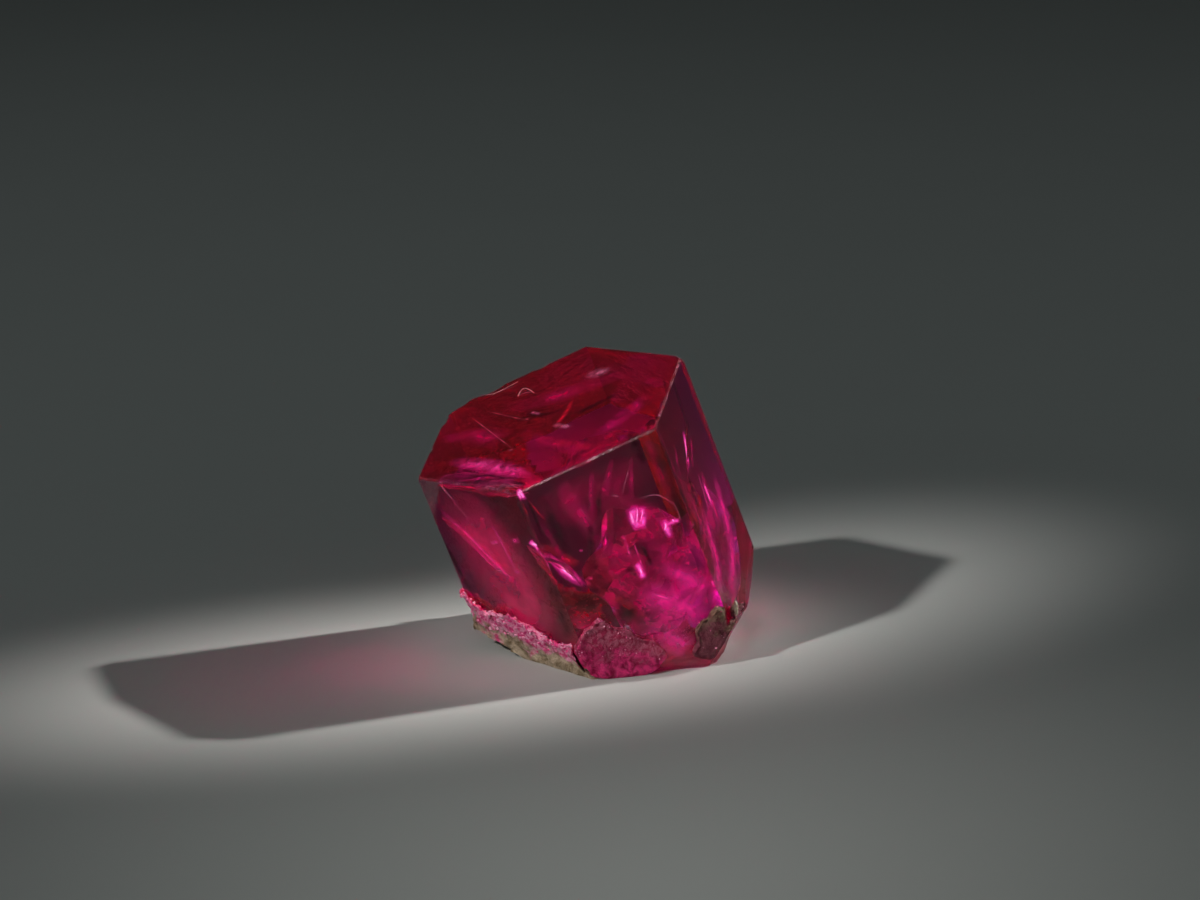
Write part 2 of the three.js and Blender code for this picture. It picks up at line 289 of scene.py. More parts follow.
def makeRoughGrain():
    # a broken, grainy surface: coarse steps and fine grit as one bump
    takes = (("Scale", "Float", 4000), ("Depth", "Float", 0.02 * mm), ("Strength", "Float", 1))
    tree, given, wanted = newGroup("roughGrain", takes, (("Normal", "Vector"), ("Height", "Float")))
    place = addNode(tree, "TexCoord").outputs["Object"]
    steps = addNode(tree, "TexNoise", None, {"Vector": place, "Scale": given["Scale"], **noiseLooks["steps"]})
    finer = calculate(tree, "MULTIPLY", given["Scale"], noiseLooks["gritFiner"])
    grit = addNode(tree, "TexNoise", None, {"Vector": place, "Scale": finer, **noiseLooks["grit"]})
    small = calculate(tree, "MULTIPLY", grit.outputs["Fac"], noiseLooks["gritShare"])
    height = calculate(tree, "ADD", steps.outputs["Fac"], small)
    bump = addNode(tree, "Bump", None, {"Strength": given["Strength"], "Distance": given["Depth"],
                                        "Height": height})
    feed(tree, wanted["Normal"], bump.outputs["Normal"])
    feed(tree, wanted["Height"], height)
    return tree


blotches = makeBlotches()
roughGrain = makeRoughGrain()

# Crystal
berylLook = {
    "tint": (1.0, 0.95, 0.97, 1),
    "absorb": (0.983, 0.02, 0.864, 1),
    "absorbDensity": 3000,
    "polish": 0.012,         # roughness of the bright faces
    "frosting": 0.5,         # extra roughness where it is broken or worn
    "frost": {"left": 0.03, "front": 0.03, "right": 0.04, "end": 0.02, "far": 0.2, "back": 0.25,
              "short": 0.2, "foot": 1.0, "worn": 0.55, "gap": 0.3},
    "frostPatches": {"Scale": 1500, "Low": 0.35, "High": 0.65},
    "frostLeast": 0.5,       # share of the frost left between its patches
    "relief": {"left": 0.1, "front": 0.12, "right": 0.15, "end": 0.08, "far": 1.0, "back": 1.0,
               "short": 0.8, "foot": 1.0, "worn": 0.6, "gap": 0.4},
    "reliefScale": 900,
    "reliefDepth": 0.05,     # mm
    "flatWithin": 0.0015,    # mm from a face's plane
    "sameWay": 0.99,         # how nearly its normal must be the face's own
    "gapWithin": 0.08,       # mm between the two walls of a fracture
    "gapStart": 0.002,       # mm off a wall, where the look across the gap starts
    "opposite": -0.5,        # how far the other wall must face back
    "footFacing": -0.2,      # what faces down the prism more than this is the foot
    "flatAngle": 0.4,        # degrees between triangles that are one face
    "smoothAngle": 22,
}


def makeBerylMaterial():
    material, tree, shader = newMaterial("redBeryl")
    shader.inputs["Base Color"].default_value = berylLook["tint"]
    shader.inputs["IOR"].default_value = prismStand["ior"]
    shader.inputs["Transmission Weight"].default_value = 1
    patches = useGroup(tree, blotches, berylLook["frostPatches"])["Mask"]
    uneven = spread(tree, patches, 0, 1, berylLook["frostLeast"], 1)
    frost = calculate(tree, "MULTIPLY", attribute(tree, "frost"), uneven)
    rough = calculate(tree, "MULTIPLY_ADD", frost, berylLook["frosting"], berylLook["polish"])
    feed(tree, shader.inputs["Roughness"], rough)
    grain = useGroup(tree, roughGrain, {"Scale": berylLook["reliefScale"]})["Height"]
    height = calculate(tree, "MULTIPLY", grain, attribute(tree, "relief"))
    bump = addNode(tree, "Bump", None, {"Distance": berylLook["reliefDepth"] * mm, "Height": height})
    feed(tree, shader.inputs["Normal"], bump.outputs["Normal"])
    absorb = addNode(tree, "VolumeAbsorption", None, {"Color": berylLook["absorb"],
                                                      "Density": berylLook["absorbDensity"]})
    tree.links.new(absorb.outputs["Volume"], tree.nodes["Material Output"].inputs["Volume"])
    return material


def faceKind(polygon, walls):
    # which face of the prism a polygon is part of, or else gap, foot or worn
    centre, outward = polygon.center, polygon.normal
    for name, (normal, distance) in planes.items():
        inPlane = abs(normal.dot(centre) - distance) < berylLook["flatWithin"] * mm
        if inPlane and normal.dot(outward) > berylLook["sameWay"]:
            return name
    start = centre + outward * berylLook["gapStart"] * mm
    hit = walls.ray_cast(start, outward, berylLook["gapWithin"] * mm)
    if hit[0] is not None and hit[1].dot(outward) < berylLook["opposite"]:
        return "gap"
    return "foot" if outward.dot(prismAxis) < berylLook["footFacing"] else "worn"


def makeCrystal():
    piece = copyOfNode("crystal", "beryl_crystal")
    bpy.ops.object.mode_set(mode="EDIT")
    bpy.ops.mesh.select_all(action="SELECT")
    bpy.ops.mesh.dissolve_limited(angle_limit=math.radians(berylLook["flatAngle"]))
    bpy.ops.mesh.quads_convert_to_tris(quad_method="BEAUTY", ngon_method="BEAUTY")
    bpy.ops.object.mode_set(mode="OBJECT")
    mesh = piece.data
    walls = BVHTree.FromPolygons([v.co for v in mesh.vertices], [p.vertices for p in mesh.polygons])
    kinds = [faceKind(polygon, walls) for polygon in mesh.polygons]
    for label in ("frost", "relief"):
        layer = mesh.attributes.new(label, "FLOAT", "FACE")
        layer.data.foreach_set("value", [berylLook[label][kind] for kind in kinds])
    mesh.materials.append(makeBerylMaterial())
    selectOnly(piece)
    bpy.ops.object.shade_smooth_by_angle(angle=math.radians(berylLook["smoothAngle"]))
    finishPiece(piece, "crystal")
    print("crystal", {kind: kinds.count(kind) for kind in sorted(set(kinds))})
    return piece, kinds


crystal, crystalKinds = makeCrystal()

# Stains that lie on the walls of the fractures and on worn edges, just inside the crystal.
# The haze and feather stains are partly a tint on the fracture walls and partly a faint painted glow
stainLooks = {
    # tone, cover and glow of a stain; scale, low and high shape its patches
    "haze": {"tone": (1.0, 0.1, 0.5, 1), "cover": 0.5, "glow": 0.02,
             "scale": 2600, "low": 0.4, "high": 0.62},
    "feather": {"tone": (1.0, 0.12, 0.4, 1), "cover": 0.35, "glow": 0.02,
                "scale": 1800, "low": 0.45, "high": 0.6},
    "wear": {"tone": (0.75, 0.32, 0.44, 1), "cover": 0.4, "glow": 0.0,
             "scale": 3500, "low": 0.35, "high": 0.6},
}
stainFinish = {
    "inset": 0.004,     # mm inside the crystal
    "hazeBeyond": 0.2,  # mm, the fractures with haze lie to the right of this
    "hazeBelow": 3,     # mm, and lower than this
    "thinShade": 0.5,   # how dark a stain is where it is thin
    "roughness": 0.6,
}


def makeStainMaterial(name):
    look = stainLooks[name]
    material, tree, shader = newMaterial("stain_" + name)
    patches = {"Scale": look["scale"], "Low": look["low"], "High": look["high"]}
    mask = useGroup(tree, blotches, patches)["Mask"]
    thin = tuple(stainFinish["thinShade"] * c for c in look["tone"][:3]) + (1,)
    feed(tree, shader.inputs["Base Color"], blend(tree, mask, thin, look["tone"]))
    feed(tree, shader.inputs["Alpha"], calculate(tree, "MULTIPLY", mask, look["cover"]))
    shader.inputs["Roughness"].default_value = stainFinish["roughness"]
    # a painted glow: the stain shines faintly by emission, though it is no lamp
    if look["glow"]:
        shader.inputs["Emission Color"].default_value = look["tone"]
        shader.inputs["Emission Strength"].default_value = look["glow"]
    return material


def makeStain(name, look, wanted):
    # a copy of the crystal's faces that a test picks, drawn a hair inwards
    piece = bpy.data.objects.new(name, crystal.data.copy())
    bpy.context.scene.collection.objects.link(piece)
    facesWhere(piece, lambda polygon: not wanted(polygon))
    bpy.ops.mesh.delete(type="FACE")
    bpy.ops.mesh.select_all(action="SELECT")
    bpy.ops.transform.shrink_fatten(value=-stainFinish["inset"] * mm)
    bpy.ops.object.mode_set(mode="OBJECT")
    piece.data.materials.clear()
    piece.data.materials.append(makeStainMaterial(look))
    finishPiece(piece)
    return piece


def makeStains():
    def inGap(polygon):
        return crystalKinds[polygon.index] == "gap"

    def byHaze(polygon):
        beyond = polygon.center.x > stainFinish["hazeBeyond"] * mm
        return beyond and polygon.center.z < stainFinish["hazeBelow"] * mm

    makeStain("stain_haze", "haze", lambda polygon: inGap(polygon) and byHaze(polygon))
    makeStain("stain_feather", "feather", lambda polygon: inGap(polygon) and not byHaze(polygon))
    makeStain("stain_worn_edges", "wear", lambda polygon: crystalKinds[polygon.index] == "worn")
    print("stains laid")


makeStains()

# Painted light close under the faces: sheets that shine by emission paint the glints, flares, streaks and red
# and pink glows, and dark sheets paint shade. A track is a row of places in the frame with half the width
# there, all in pixels; depths are in mm
trackLooks = {
    # core and rim are its tones in the middle and at the sides; ragged, edge and scale shape it;
    # glow is how strongly it shines by emission, painted light, and the dark sheets paint shade
    "glint": {"core": (1.0, 0.8, 0.95, 1), "rim": (1.0, 0.1, 0.55, 1), "cover": 1.0, "glow": 1.2,
              "ragged": 0.0, "edge": 1.0, "scale": 6000},
    "flare": {"core": (1.0, 0.3, 0.85, 1), "rim": (0.85, 0.0, 0.3, 1), "cover": 0.95, "glow": 0.9,
              "ragged": 0.15, "edge": 1.0, "scale": 5200},
    "streak": {"core": (1.0, 0.14, 0.5, 1), "rim": (0.8, 0.02, 0.25, 1), "cover": 0.8, "glow": 0.5,
               "ragged": 0.26, "edge": 0.9, "scale": 5200},
    "pale": {"core": (0.9, 0.45, 0.55, 1), "rim": (0.7, 0.15, 0.3, 1), "cover": 0.7, "glow": 0.3,
             "ragged": 0.22, "edge": 1.0, "scale": 6000},
    "ember": {"core": (1.0, 0.03, 0.08, 1), "rim": (0.7, 0.0, 0.04, 1), "cover": 0.6, "glow": 0.4,
              "ragged": 0.38, "edge": 1.0, "scale": 4200},
    "blush": {"core": (1.0, 0.01, 0.28, 1), "rim": (0.7, 0.0, 0.16, 1), "cover": 0.65, "glow": 0.27,
              "ragged": 0.28, "edge": 1.0, "scale": 3200},
    # a broad pink glow painted where the crystal looks hazy
    "haze": {"core": (1.0, 0.05, 0.4, 1), "rim": (0.9, 0.02, 0.3, 1), "cover": 0.8, "glow": 0.52,
             "ragged": 0.1, "edge": 1.0, "scale": 3800},
    # a dim red glow painted on a sheet deep under the face, not a fracture veil
    "redGlow": {"core": (0.9, 0.01, 0.22, 1), "rim": (0.7, 0.0, 0.14, 1), "cover": 0.6, "glow": 0.2,
             "ragged": 0.25, "edge": 1.0, "scale": 2400},
    # a broad glow that paints the mauve sheen on the left face
    "mauveGlow": {"core": (1.0, 0.14, 0.3, 1), "rim": (0.9, 0.06, 0.2, 1), "cover": 0.7, "glow": 0.17,
              "ragged": 0.0, "edge": 0.7, "scale": 1600},
    # a dark sheet that paints shade where the faces look dark
    "paintedShade": {"core": (0.02, 0.0, 0.012, 1), "rim": (0.05, 0.0, 0.02, 1), "cover": 1.0, "glow": 0.0,
             "ragged": 0.15, "edge": 1.0, "scale": 3000},
}
tracks = {
    "left": {
        "pale": (0.06, [
            [(437, 481, 1.5), (446, 492, 3), (455, 502, 1.5)],
            [(452, 500, 1), (470, 521, 1.5)],
            [(532, 543, 2), (537, 547, 2.5)],
        ]),
        "streak": (0.1, [
            [(436, 506, 1.5), (456, 524, 3), (471, 538, 3), (490, 558, 3.5), (504, 572, 3.5),
             (524, 592, 1.5)],
            [(489, 520, 1), (500, 540, 2), (511, 561, 2.5), (517, 572, 1.5)],
            [(490, 543, 3), (498, 542, 3)],
            [(512, 541, 3.5), (520, 540, 3.5)],
            [(514, 572, 3), (520, 572, 3)],
        ]),
        "blush": (0.2, [
            [(440, 510, 4), (465, 532, 10), (495, 560, 14), (520, 592, 8)],
        ]),
        "mauveGlow": (0.3, [
            [(446, 485, 20), (474, 522, 54), (506, 575, 60), (535, 622, 50), (552, 646, 16)],
        ]),
        "paintedShade": (0.36, [
            [(428, 516, 3), (448, 550, 6), (470, 590, 7), (486, 615, 3)],
            [(517, 500, 3), (526, 520, 5), (534, 540, 3)],
        ]),
    },
    "front": {
        "glint": (0.1, [
            [(520, 492, 2), (522, 495, 2.4), (524, 498, 2)],
            [(532, 544, 2), (535, 545, 2.6), (538, 547, 2)],
            [(558, 566, 1), (569, 574, 4.4), (580, 582, 1.5)],
            [(630, 511, 1), (632, 519, 4), (634, 525, 2)],
            [(637, 507, 0.8), (638, 516, 1.6), (636, 524, 1)],
            [(643, 508, 0.6), (642, 517, 1.2), (640, 523, 0.6)],
            [(665, 522, 1), (667, 527, 2.2), (664, 531, 1)],
            [(672, 519, 1), (674, 522, 1.6)],
            [(638, 565, 1), (641, 570, 2.4), (642, 575, 1)],
        ]),
        "flare": (0.16, [
            [(546, 554, 2), (558, 565, 6), (571, 576, 8), (585, 586, 3)],
            [(530, 542, 3), (536, 546, 5), (542, 551, 3)],
            [(519, 491, 2), (522, 495, 4), (526, 500, 2)],
            [(630, 506, 6), (636, 517, 13), (640, 530, 6)],
            [(641, 505, 4), (645, 518, 7), (641, 530, 4)],
            [(663, 519, 4), (667, 527, 7), (671, 540, 3)],
            [(664, 526, 3), (674, 521, 5), (680, 520, 3)],
            [(636, 562, 4), (641, 570, 7), (644, 580, 4)],
        ]),
        "streak": (0.1, [
            [(535, 549, 2), (545, 556, 3.5), (556, 564, 4), (570, 573, 3)],
            [(556, 566, 1.5), (578, 580, 2), (588, 586, 1)],
            [(622, 534, 1.5), (628, 546, 2.5), (631, 560, 2)],
            [(633, 540, 1), (638, 556, 1.5), (643, 568, 1)],
            [(579, 550, 2), (583, 551, 2)],
            [(588, 578, 2.5), (593, 578, 2.5)],
            [(619, 587, 2.5), (624, 587, 2.5)],
            [(685, 563, 2.5), (690, 563, 2.5)],
            [(712, 580, 1.5), (714, 587, 2.5)],
            [(690, 524, 1), (695, 526, 1.5)],
            [(648, 594, 2), (662, 596, 3), (672, 600, 2)],
        ]),
        "pale": (0.05, [
            [(629, 468, 0.8), (626, 480, 1.3), (622, 494, 0.8)],
            [(609, 496, 0.8), (614, 495, 1.2), (620, 497, 0.8)],
            [(641, 499, 0.8), (650, 494, 1.1), (664, 496, 1.1), (676, 506, 0.8)],
            [(672, 500, 0.8), (679, 512, 1.1), (681, 522, 0.8)],
        ]),
        "ember": (0.3, [
            [(528, 499, 1), (535, 510, 2), (547, 522, 1)],
            [(540, 545, 4), (560, 556, 8), (580, 566, 6)],
            [(596, 590, 5), (620, 600, 9), (645, 622, 7)],
        ]),
        "blush": (0.4, [
            [(556, 478, 6), (572, 500, 12), (590, 528, 12), (604, 556, 8)],
            [(612, 458, 3), (607, 482, 7), (602, 505, 5)],
            [(632, 455, 2), (630, 478, 4), (632, 500, 4)],
            [(592, 470, 3), (590, 495, 5), (593, 515, 3)],
            [(616, 500, 8), (645, 508, 18), (672, 528, 10)],
            [(640, 520, 12), (655, 545, 16), (672, 566, 12)],
            [(600, 545, 6), (622, 556, 12), (645, 562, 6)],
            [(540, 520, 3), (556, 548, 5), (572, 572, 3)],
        ]),
        "redGlow": (0.5, [
            [(534, 505, 8), (570, 508, 32), (612, 488, 36), (648, 462, 14)],
            [(600, 585, 6), (625, 565, 18), (650, 560, 8)],
            [(644, 434, 4), (660, 470, 9), (676, 508, 6)],
        ]),
        "haze": (0.22, [
            [(640, 585, 10), (662, 600, 24), (690, 612, 26), (712, 606, 14)],
            [(655, 620, 12), (672, 640, 22), (690, 650, 12)],
            [(590, 656, 5), (602, 660, 9), (614, 664, 6)],
            [(660, 565, 8), (690, 580, 18), (710, 590, 10)],
        ]),
        "paintedShade": (0.3, [
            [(538, 494, 4), (552, 518, 8), (562, 540, 8), (570, 556, 4)],
            [(548, 580, 9), (566, 594, 18), (588, 604, 16), (608, 606, 6)],
            [(560, 600, 8), (568, 618, 13), (574, 640, 8)],
            [(589, 520, 4), (591, 540, 7), (593, 566, 4)],
            [(626, 568, 3), (632, 572, 7), (638, 574, 4)],
            [(630, 435, 5), (638, 450, 10), (648, 462, 6)],
            [(648, 432, 4), (662, 466, 9), (678, 505, 9), (698, 548, 5)],
            [(642, 546, 2), (648, 556, 4), (652, 566, 2)],
            [(612, 602, 6), (630, 612, 12), (650, 632, 6)],
            [(600, 480, 3), (598, 500, 5), (600, 520, 3)],
        ]),
    },
    "right": {
        "flare": (0.12, [
            [(683, 430, 3), (686, 448, 6), (690, 470, 3)],
            [(703, 482, 3), (708, 494, 6), (713, 508, 3)],
        ]),
        "glint": (0.08, [
            [(685, 436, 0.8), (686, 450, 1.6), (687, 462, 0.8)],
            [(705, 487, 0.8), (708, 492, 1.8), (710, 500, 0.8)],
        ]),
        "streak": (0.1, [
            [(685, 430, 1.5), (686, 450, 3), (688, 472, 1.5)],
            [(703, 482, 1.5), (708, 492, 3.5), (711, 506, 1.5)],
            [(690, 495, 0.8), (702, 525, 1.4), (715, 560, 0.8)],
            [(697, 470, 1), (703, 490, 2), (712, 520, 1)],
        ]),
        "blush": (0.2, [
            [(690, 436, 3), (693, 452, 5), (692, 468, 3)],
            [(675, 446, 3), (677, 466, 8), (682, 484, 4)],
            [(700, 470, 5), (712, 500, 9), (722, 530, 6)],
        ]),
        "haze": (0.25, [
            [(700, 505, 6), (712, 540, 14), (720, 575, 14), (718, 602, 9)],
            [(712, 470, 5), (726, 515, 14), (734, 560, 16), (732, 605, 10)],
        ]),
        "paintedShade": (0.25, [
            [(672, 378, 4), (680, 404, 8), (690, 432, 5)],
            [(686, 470, 3), (694, 496, 4), (706, 528, 3)],
        ]),
    },
    "end": {
        "streak": (0.08, [
            [(449, 461, 6), (470, 463, 13), (495, 467, 14), (515, 472, 12), (534, 477, 3)],
        ]),
        "blush": (0.1, [
            [(452, 464, 5), (480, 467, 9), (510, 473, 8), (535, 477, 4)],
            [(646, 379, 5), (655, 383, 10), (662, 386, 5)],
            [(596, 438, 10), (622, 418, 18), (650, 394, 10)],
        ]),
        "redGlow": (0.3, [
            [(522, 432, 8), (548, 446, 18), (590, 450, 12)],
            [(440, 440, 8), (470, 432, 20), (505, 440, 20)],
            [(500, 410, 8), (540, 402, 20), (590, 385, 18), (630, 372, 8)],
        ]),
        "ember": (0.2, [
            [(536, 438, 6), (565, 444, 12), (594, 448, 6)],
            [(573, 397, 1.5), (569, 408, 4), (562, 418, 5), (555, 426, 2)],
        ]),
        "paintedShade": (0.14, [
            [(446, 475, 3), (475, 480, 7), (505, 484, 8), (528, 484, 4)],
            [(520, 414, 4), (545, 418, 7), (565, 408, 4)],
            [(576, 414, 4), (600, 402, 8), (620, 392, 4)],
        ]),
        "pale": (0.05, [
            [(585, 375, 5), (594, 374, 13), (604, 371, 11), (612, 368, 4)],
            [(479, 393, 0.8), (484, 395, 1.3), (497, 393, 1.3), (507, 388, 1.3), (518, 386, 0.8)],
            [(518, 396, 0.8), (526, 391, 1.2), (535, 392, 0.8)],
            [(554, 424, 4), (562, 427, 6), (572, 427, 4)],
            [(471, 417, 0.6), (492, 433, 0.8), (513, 449, 0.6)],
            [(486, 411, 0.6), (525, 420, 0.8)],
            [(525, 419, 2), (529, 419, 2)],
            [(509, 450, 2), (513, 450, 2)],
            [(531, 412, 3), (540, 414, 3)],
        ]),
    },
}
trackFinish = {
    "fullWithin": 0.25,  # how far from the middle of its length a track is full
    "softness": 0.5,     # how sides and ends melt into one another
    "patchHigh": 0.6,    # upper bound of the patches that make it ragged
    "roughness": 0.6,
    "steps": 5,          # points from one place of a row to the next
}


def makeSoftTrack():
    # a ribbon's own mask: soft along its sides and at its ends; Core is its bright middle
    takes = (("Edge", "Float", 0.8), ("Ragged", "Float", 0.4), ("Scale", "Float", 5000))
    tree, given, wanted = newGroup("softTrack", takes, (("Mask", "Float"), ("Core", "Float")))
    parts = addNode(tree, "SeparateXYZ", None, {"Vector": addNode(tree, "TexCoord").outputs["UV"]})
    side = calculate(tree, "ABSOLUTE", calculate(tree, "SUBTRACT", parts.outputs["Y"], 0.5))
    end = calculate(tree, "ABSOLUTE", calculate(tree, "SUBTRACT", parts.outputs["X"], 0.5))
    full = calculate(tree, "SUBTRACT", 1, given["Edge"])
    across = spread(tree, calculate(tree, "MULTIPLY", side, 2), 1, full)
    along = spread(tree, end, 0.5, trackFinish["fullWithin"])
    patches = useGroup(tree, blotches, {"Scale": given["Scale"], "Low": given["Ragged"],
                                        "High": trackFinish["patchHigh"]})["Mask"]
    ribbon = calculate(tree, "SMOOTH_MIN", across, along, trackFinish["softness"])
    shape = calculate(tree, "MULTIPLY", ribbon, patches)
    feed(tree, wanted["Mask"], shape)
    feed(tree, wanted["Core"], calculate(tree, "POWER", shape, 2))
    return tree


softTrack = makeSoftTrack()


def makeTrackMaterial(name):
    look = trackLooks[name]
    material, tree, shader = newMaterial("track_" + name)
    masks = useGroup(tree, softTrack, {"Edge": look["edge"], "Ragged": look["ragged"],
                                       "Scale": look["scale"]})
    tone = blend(tree, masks["Core"], look["rim"], look["core"])
    feed(tree, shader.inputs["Base Color"], tone)
    feed(tree, shader.inputs["Alpha"], calculate(tree, "MULTIPLY", masks["Mask"], look["cover"]))
    shader.inputs["Roughness"].default_value = trackFinish["roughness"]
    shader.inputs["Specular IOR Level"].default_value = 0
    # painted light: the sheet shines by emission, though it is no lamp
    if look["glow"]:
        feed(tree, shader.inputs["Emission Color"], tone)
        shader.inputs["Emission Strength"].default_value = look["glow"]
    return material


def makeTracks(side, look, depth, rows):
    # flat curves in the plane of a face, turned on edge so that they lie in it
    normal = planes[side][0]
    origin = insideAt(rows[0][0][:2], side, depth)
    acrossFace = normal.cross(Vector((0, 0, 1))).normalized()
    frameAxes = Matrix((acrossFace, normal.cross(acrossFace), normal)).transposed().to_4x4()
    placed = Matrix.Translation(origin) @ frameAxes
    data = bpy.data.curves.new(side + "_" + look, "CURVE")
    data.dimensions = "3D"
    data.twist_mode = "Z_UP"
    data.extrude = mm  # times a point's radius, which is its half width in mm
    data.resolution_u = trackFinish["steps"]
    for row in rows:
        spline = data.splines.new("NURBS")
        spline.points.add(len(row) - 1)
        for point, (x, y, half) in zip(spline.points, row):
            point.co = (*(placed.inverted() @ insideAt((x, y), side, depth)), 1)
            point.radius = half / photoView["pixelsPerMm"]
            point.tilt = math.radians(90)
        spline.order_u = min(3, len(row))
        spline.use_endpoint_u = True
    piece = bpy.data.objects.new("inner_" + look + "_" + side, data)
    bpy.context.scene.collection.objects.link(piece)
    selectOnly(piece)
    bpy.ops.object.convert(target="MESH")
    piece = bpy.context.object
    piece.matrix_world = placed
    bpy.ops.object.transform_apply(location=True, rotation=True, scale=True)
    piece.data.materials.append(trackMaterials[look])
    finishPiece(piece)


trackMaterials = {name: makeTrackMaterial(name) for name in trackLooks}
for sideName, sideTracks in tracks.items():
    for lookName, (trackDepth, trackRows) in sideTracks.items():
        makeTracks(sideName, lookName, trackDepth, trackRows)
print("flares and streaks made")

# Clinging rock
rockLooks = {
    # light and dark are the stone, blush and deep its red part higher up; on the rind that pink is painted
    # light from the crystal, and the flake's reds are painted red light from the crystal shining through it;
    # push is in mm
    "matrix_rind": {
        "piece": "rock_rind", "slot": "pale_rock", "cuts": 1, "push": 0.05,
        "light": (0.58, 0.45, 0.32, 1), "dark": (0.2, 0.14, 0.075, 1),
        "blush": (1.0, 0.42, 0.62, 1), "deep": (0.8, 0.05, 0.24, 1), "blushFrom": 0.34, "blushTo": 0.54,
    },
    "matrix_flake": {
        "piece": "rock_flake", "slot": "pale_rock", "cuts": 2, "push": 0.035,
        "light": (0.85, 0.04, 0.22, 1), "dark": (0.3, 0.0, 0.05, 1),
        "blush": (0.6, 0.13, 0.22, 1), "deep": (0.42, 0.02, 0.08, 1), "blushFrom": 0.2, "blushTo": 0.6,
    },
    "matrix_patch": {
        "piece": "rock_patch", "slot": "tan_rock", "cuts": 2, "push": 0.03,
        "light": (0.3, 0.08, 0.11, 1), "dark": (0.14, 0.015, 0.035, 1),
        "blush": (0.3, 0.22, 0.13, 1), "deep": (0.12, 0.05, 0.03, 1), "blushFrom": 0.5, "blushTo": 1.0,
    },
}
rockShape = {
    "relief": (("lumps", 0.2, 1.0), ("grain", 0.07, 0.6)),  # name, size in mm, share of the push
    "sectors": 48,        # round the crystal, each with a bottom and a top of its own
    "leastHeight": 0.05,  # mm from bottom to top
    "glue": 0.035,        # mm from the crystal within which the rock keeps its shape
    "low": 0.1,           # mm above the floor below which it keeps its shape too
    "smoothAngle": 35,
}
rockStone = {
    "grains": {"Scale": 7000, "Low": 0.38, "High": 0.6},
    "crumbs": {"Scale": 11000, "Low": 0.42, "High": 0.58},
    "wander": {"Scale": 2600, "Low": 0.3, "High": 0.7},
    "swing": 0.7,              # how far the blush wanders up and down
    "roughness": (0.85, 0.5),  # between the crumbs and on them
    "gloss": 0.25,
    "relief": {"Scale": 12000, "Depth": 0.05 * mm},
}


def heightShares(mesh):
    # 0 at the bottom and 1 at the top of the rock in each upright sector round the crystal
    middle = Vector((endMiddle.x, endMiddle.y))
    count = rockShape["sectors"]
    sectors = {}
    keys = []
    for vertex in mesh.vertices:
        spoke = Vector(vertex.co.xy) - middle
        key = int((math.atan2(spoke.y, spoke.x) / math.tau + 1) * count) % count
        keys.append(key)
        low, high = sectors.get(key, (vertex.co.z, vertex.co.z))
        sectors[key] = (min(low, vertex.co.z), max(high, vertex.co.z))
    shares = []
    for vertex, key in zip(mesh.vertices, keys):
        low, high = sectors[key]
        shares.append((vertex.co.z - low) / max(high - low, rockShape["leastHeight"] * mm))
    return shares


def outerVertices(mesh):
    # vertices that lie well clear of the crystal and of the surface it rests on
    crystalTree = BVHTree.FromPolygons([v.co for v in crystal.data.vertices],
                                       [p.vertices for p in crystal.data.polygons])
    glue, low = rockShape["glue"] * mm, rockShape["low"] * mm
    return [v.index for v in mesh.vertices
            if crystalTree.find_nearest(v.co)[3] > glue and v.co.z > low]


def makeRockMaterial(name, look):
    material, tree, shader = newMaterial(name)
    grains = useGroup(tree, blotches, rockStone["grains"])["Mask"]
    crumbs = useGroup(tree, blotches, rockStone["crumbs"])["Mask"]
    stone = blend(tree, grains, look["dark"], look["light"])
    pink = blend(tree, crumbs, look["deep"], look["blush"])
    wander = useGroup(tree, blotches, rockStone["wander"])["Mask"]
    swing = calculate(tree, "MULTIPLY", calculate(tree, "SUBTRACT", wander, 0.5), rockStone["swing"])
    # higher up the blush tones take over: on the rind and the flake, painted pink light from the crystal
    level = calculate(tree, "ADD", attribute(tree, "rise"), swing)
    blush = spread(tree, level, look["blushFrom"], look["blushTo"])
    feed(tree, shader.inputs["Base Color"], blend(tree, blush, stone, pink))
    feed(tree, shader.inputs["Roughness"], spread(tree, crumbs, 0, 1, *rockStone["roughness"]))
    shader.inputs["Specular IOR Level"].default_value = rockStone["gloss"]
    relief = useGroup(tree, roughGrain, rockStone["relief"])["Normal"]
    feed(tree, shader.inputs["Normal"], relief)
    return material


def makeRock(nodeName):
    look = rockLooks[nodeName]
    piece = copyOfNode(nodeName, look["piece"])
    bpy.ops.object.mode_set(mode="EDIT")
    bpy.ops.mesh.select_all(action="SELECT")
    bpy.ops.mesh.subdivide(number_cuts=look["cuts"])
    bpy.ops.object.mode_set(mode="OBJECT")
    outer = piece.vertex_groups.new(name="outer")
    outer.add(outerVertices(piece.data), 1, "REPLACE")
    for label, size, share in rockShape["relief"]:
        texture = bpy.data.textures.new(look["piece"] + "_" + label, "CLOUDS")
        texture.noise_scale = size * mm
        push = piece.modifiers.new(label, "DISPLACE")
        push.texture = texture
        push.texture_coords = "LOCAL"
        push.vertex_group = "outer"
        push.strength = share * look["push"] * mm
        push.mid_level = 1
        bpy.ops.object.modifier_apply(modifier=label)
    rise = piece.data.attributes.new("rise", "FLOAT", "POINT")
    rise.data.foreach_set("value", heightShares(piece.data))
    piece.data.materials.append(makeRockMaterial(look["piece"] + "_stone", look))
    selectOnly(piece)
    bpy.ops.object.shade_smooth_by_angle(angle=math.radians(rockShape["smoothAngle"]))
    finishPiece(piece, nodeName)
    return piece


rocks = {nodeName: makeRock(nodeName) for nodeName in rockLooks}
print("rock made")

